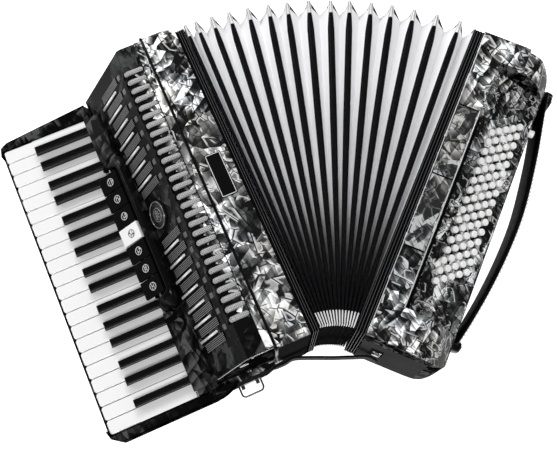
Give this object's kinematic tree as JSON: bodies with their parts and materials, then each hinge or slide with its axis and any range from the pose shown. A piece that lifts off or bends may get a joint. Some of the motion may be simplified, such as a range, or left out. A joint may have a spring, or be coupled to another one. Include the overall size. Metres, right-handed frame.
{
  "type": "piano accordion",
  "caption": "Piano accordion lying on its back with its bellows fanned open, hinged keys, rocking register switches, sliding bass buttons and strap rings.",
  "frame": {"origin": "centre of the box at the level of the backs of both bodies, on which it lies", "axes": "+X from the keyboard side to the bass side, +Y towards the top end along the fan's middle, +Z from the backs towards the grille side"},
  "size_m": [0.7692, 0.5602, 0.1915],
  "materials": {
    "pearl": "glossy charcoal celluloid with silver pearl flakes",
    "pearl_bed": "glossy dark charcoal celluloid, faint pearl flakes",
    "pearl_panel": "glossy grey pearl celluloid panel",
    "black_wood": "black lacquered wood with ruled lines",
    "grille_metal": "anthracite satin paint on pressed aluminium",
    "silver_mesh": "fine silver wire mesh",
    "gauze": "black grille cloth",
    "chrome": "polished chrome",
    "dark_chrome": "smoked chrome wire and pressed saddle",
    "badge": "dark enamel medallion with plain rings",
    "badge_plate": "black gloss plate with a thin silver border",
    "felt": "wool felt strip",
    "black_gloss": "black gloss moulded plastic",
    "black_satin": "black satin plastic with a fine grain",
    "steel": "drawn steel",
    "reed_wood": "pale varnished spruce",
    "reed_metal": "milled reed plates",
    "bellows_card": "white coated card with black cloth tape on each ridge",
    "corner_metal": "bright pressed corners",
    "leather": "black grained leather with stitched edges",
    "board_plastic": "dark board",
    "white_button": "white domed moulded buttons",
    "white_key": "white gloss key covers",
    "black_key": "black satin gloss keys",
    "white_tab": "white gloss switch"
  },
  "bodies": {
    "treble": {"treble_bellows_frame": "black_wood", "treble_case": "pearl", "treble_grille": "grille_metal", "grille_louvres": "silver_mesh", "grille_gauze": "gauze", "grille_bars": "chrome", "grille_emblem": "badge", "name_plate": "badge_plate", "keyboard_bed": "pearl_bed", "key_felt": "felt", "register_housing": "black_gloss", "axle_rods": "steel", "treble_reed_blocks": "reed_wood", "treble_reed_plates": "reed_metal", "strap_saddles": "dark_chrome", "bellows_folds": "bellows_card", "bellows_corners": "corner_metal", "bellows_strap_bottom": "leather", "strap_studs": "steel", "bellows_strap_top": "leather", "key_slip": "pearl_bed"},
    "bass": {"strap_stud_bass": "steel", "bass_bellows_frame": "black_wood", "bass_case": "pearl", "bass_back_plate": "black_satin", "button_board": "board_plastic", "bass_front_panels": "pearl_panel", "bass_trim": "chrome", "bass_reed_blocks": "reed_wood", "bass_mechanism": "steel", "hand_strap": "leather", "strap_blocks": "black_gloss"},
    "key_c": {"key_c": "white_key"},
    "key_d": {"key_d": "white_key"},
    "key_e": {"key_e": "white_key"},
    "key_f": {"key_f": "white_key"},
    "key_g": {"key_g": "white_key"},
    "key_a": {"key_a": "white_key"},
    "key_b": {"key_b": "white_key"},
    "key_c_sharp": {"key_c_sharp": "black_key"},
    "key_d_sharp": {"key_d_sharp": "black_key"},
    "key_f_sharp": {"key_f_sharp": "black_key"},
    "key_g_sharp": {"key_g_sharp": "black_key"},
    "key_a_sharp": {"key_a_sharp": "black_key"},
    "register_1": {"register_1": "black_gloss"},
    "register_2": {"register_2": "black_gloss"},
    "register_3": {"register_3": "black_gloss"},
    "register_4": {"register_4": "white_tab"},
    "register_5": {"register_5": "black_gloss"},
    "register_6": {"register_6": "black_gloss"},
    "register_7": {"register_7": "black_gloss"},
    "buttons_counterbass": {"buttons_counterbass": "white_button"},
    "buttons_bass": {"buttons_bass": "white_button"},
    "buttons_major": {"buttons_major": "white_button"},
    "buttons_minor": {"buttons_minor": "white_button"},
    "buttons_seventh": {"buttons_seventh": "white_button"},
    "air_button": {"air_button": "white_button"},
    "strap_ring_bottom": {"strap_ring_bottom": "dark_chrome"},
    "strap_rings_top": {"strap_rings_top": "dark_chrome"},
    "strap_wheel": {"strap_wheel": "steel"}
  },
  "joints": [
    {"name": "bellows_fan", "type": "hinge", "parent": "treble", "child": "bass", "pos_m": [0.06224, -0.16491, 0.095], "axis": [0, 0, 1], "range_deg": [-6, 46.5], "deforming": ["bellows_folds", "bellows_corners", "bellows_strap_bottom"]},
    {"name": "key_c_press", "type": "hinge", "parent": "treble", "child": "key_c", "pos_m": [-0.17464, -0.03349, 0.066], "axis": [0.3951, -0.9187, 0], "range_deg": [0, 1.9], "stiffness_Nm_per_rad": 4, "springref_deg": -8.59},
    {"name": "key_d_press", "type": "hinge", "parent": "treble", "child": "key_d", "pos_m": [-0.17464, -0.03349, 0.066], "axis": [0.3951, -0.9187, 0], "range_deg": [0, 1.9], "stiffness_Nm_per_rad": 4, "springref_deg": -8.59},
    {"name": "key_e_press", "type": "hinge", "parent": "treble", "child": "key_e", "pos_m": [-0.17464, -0.03349, 0.066], "axis": [0.3951, -0.9187, 0], "range_deg": [0, 1.9], "stiffness_Nm_per_rad": 4, "springref_deg": -8.59},
    {"name": "key_f_press", "type": "hinge", "parent": "treble", "child": "key_f", "pos_m": [-0.17464, -0.03349, 0.066], "axis": [0.3951, -0.9187, 0], "range_deg": [0, 1.9], "stiffness_Nm_per_rad": 4, "springref_deg": -8.59},
    {"name": "key_g_press", "type": "hinge", "parent": "treble", "child": "key_g", "pos_m": [-0.17464, -0.03349, 0.066], "axis": [0.3951, -0.9187, 0], "range_deg": [0, 1.9], "stiffness_Nm_per_rad": 4, "springref_deg": -8.59},
    {"name": "key_a_press", "type": "hinge", "parent": "treble", "child": "key_a", "pos_m": [-0.17464, -0.03349, 0.066], "axis": [0.3951, -0.9187, 0], "range_deg": [0, 1.9], "stiffness_Nm_per_rad": 4, "springref_deg": -8.59},
    {"name": "key_b_press", "type": "hinge", "parent": "treble", "child": "key_b", "pos_m": [-0.17464, -0.03349, 0.066], "axis": [0.3951, -0.9187, 0], "range_deg": [0, 1.9], "stiffness_Nm_per_rad": 4, "springref_deg": -8.59},
    {"name": "key_c_sharp_press", "type": "hinge", "parent": "treble", "child": "key_c_sharp", "pos_m": [-0.17464, -0.03349, 0.066], "axis": [0.3951, -0.9187, 0], "range_deg": [0, 1.9], "stiffness_Nm_per_rad": 2, "springref_deg": -8.59},
    {"name": "key_d_sharp_press", "type": "hinge", "parent": "treble", "child": "key_d_sharp", "pos_m": [-0.17464, -0.03349, 0.066], "axis": [0.3951, -0.9187, 0], "range_deg": [0, 1.9], "stiffness_Nm_per_rad": 2, "springref_deg": -8.59},
    {"name": "key_f_sharp_press", "type": "hinge", "parent": "treble", "child": "key_f_sharp", "pos_m": [-0.17464, -0.03349, 0.066], "axis": [0.3951, -0.9187, 0], "range_deg": [0, 1.9], "stiffness_Nm_per_rad": 2, "springref_deg": -8.59},
    {"name": "key_g_sharp_press", "type": "hinge", "parent": "treble", "child": "key_g_sharp", "pos_m": [-0.17464, -0.03349, 0.066], "axis": [0.3951, -0.9187, 0], "range_deg": [0, 1.9], "stiffness_Nm_per_rad": 2, "springref_deg": -8.59},
    {"name": "key_a_sharp_press", "type": "hinge", "parent": "treble", "child": "key_a_sharp", "pos_m": [-0.17464, -0.03349, 0.066], "axis": [0.3951, -0.9187, 0], "range_deg": [0, 1.9], "stiffness_Nm_per_rad": 2, "springref_deg": -8.59},
    {"name": "register_1_rock", "type": "hinge", "parent": "treble", "child": "register_1", "pos_m": [-0.19299, -0.01613, 0.107], "axis": [0.3951, -0.9187, 0], "range_deg": [0, 5], "stiffness_Nm_per_rad": 0.05, "springref_deg": -8.59},
    {"name": "register_2_rock", "type": "hinge", "parent": "treble", "child": "register_2", "pos_m": [-0.19299, -0.01613, 0.107], "axis": [0.3951, -0.9187, 0], "range_deg": [0, 5], "stiffness_Nm_per_rad": 0.05, "springref_deg": -8.59},
    {"name": "register_3_rock", "type": "hinge", "parent": "treble", "child": "register_3", "pos_m": [-0.19299, -0.01613, 0.107], "axis": [0.3951, -0.9187, 0], "range_deg": [0, 5], "stiffness_Nm_per_rad": 0.05, "springref_deg": -8.59},
    {"name": "register_4_rock", "type": "hinge", "parent": "treble", "child": "register_4", "pos_m": [-0.19299, -0.01613, 0.107], "axis": [0.3951, -0.9187, 0], "range_deg": [0, 5], "stiffness_Nm_per_rad": 0.05, "springref_deg": -8.59},
    {"name": "register_5_rock", "type": "hinge", "parent": "treble", "child": "register_5", "pos_m": [-0.19299, -0.01613, 0.107], "axis": [0.3951, -0.9187, 0], "range_deg": [0, 5], "stiffness_Nm_per_rad": 0.05, "springref_deg": -8.59},
    {"name": "register_6_rock", "type": "hinge", "parent": "treble", "child": "register_6", "pos_m": [-0.19299, -0.01613, 0.107], "axis": [0.3951, -0.9187, 0], "range_deg": [0, 5], "stiffness_Nm_per_rad": 0.05, "springref_deg": -8.59},
    {"name": "register_7_rock", "type": "hinge", "parent": "treble", "child": "register_7", "pos_m": [-0.19299, -0.01613, 0.107], "axis": [0.3951, -0.9187, 0], "range_deg": [0, 5], "stiffness_Nm_per_rad": 0.05, "springref_deg": -8.59},
    {"name": "buttons_counterbass_press", "type": "slide", "parent": "bass", "child": "buttons_counterbass", "axis": [-0.4396, 0.1891, -0.8781], "range_m": [0, 0.004], "stiffness_N_per_m": 400, "springref_m": -0.008},
    {"name": "buttons_bass_press", "type": "slide", "parent": "bass", "child": "buttons_bass", "axis": [-0.4396, 0.1891, -0.8781], "range_m": [0, 0.004], "stiffness_N_per_m": 400, "springref_m": -0.008},
    {"name": "buttons_major_press", "type": "slide", "parent": "bass", "child": "buttons_major", "axis": [-0.4396, 0.1891, -0.8781], "range_m": [0, 0.004], "stiffness_N_per_m": 400, "springref_m": -0.008},
    {"name": "buttons_minor_press", "type": "slide", "parent": "bass", "child": "buttons_minor", "axis": [-0.4396, 0.1891, -0.8781], "range_m": [0, 0.004], "stiffness_N_per_m": 400, "springref_m": -0.008},
    {"name": "buttons_seventh_press", "type": "slide", "parent": "bass", "child": "buttons_seventh", "axis": [-0.4396, 0.1891, -0.8781], "range_m": [0, 0.004], "stiffness_N_per_m": 400, "springref_m": -0.008},
    {"name": "air_button_press", "type": "slide", "parent": "bass", "child": "air_button", "axis": [-0.9187, 0.3951, 0], "range_m": [0, 0.004], "stiffness_N_per_m": 200, "springref_m": -0.006},
    {"name": "ring_bottom_swing", "type": "hinge", "parent": "treble", "child": "strap_ring_bottom", "pos_m": [-0.04468, -0.20533, 0.02], "axis": [0.9187, 0.3951, 0], "range_deg": [-80, 80]},
    {"name": "rings_top_swing", "type": "hinge", "parent": "treble", "child": "strap_rings_top", "pos_m": [-0.19762, 0.22245, 0.03], "axis": [0.9187, 0.3951, 0], "range_deg": [-80, 80]},
    {"name": "strap_wheel_turn", "type": "hinge", "parent": "bass", "child": "strap_wheel", "pos_m": [0.37449, 0.18228, 0.085], "axis": [0.3951, 0.9187, 0], "continuous": true}
  ]
}
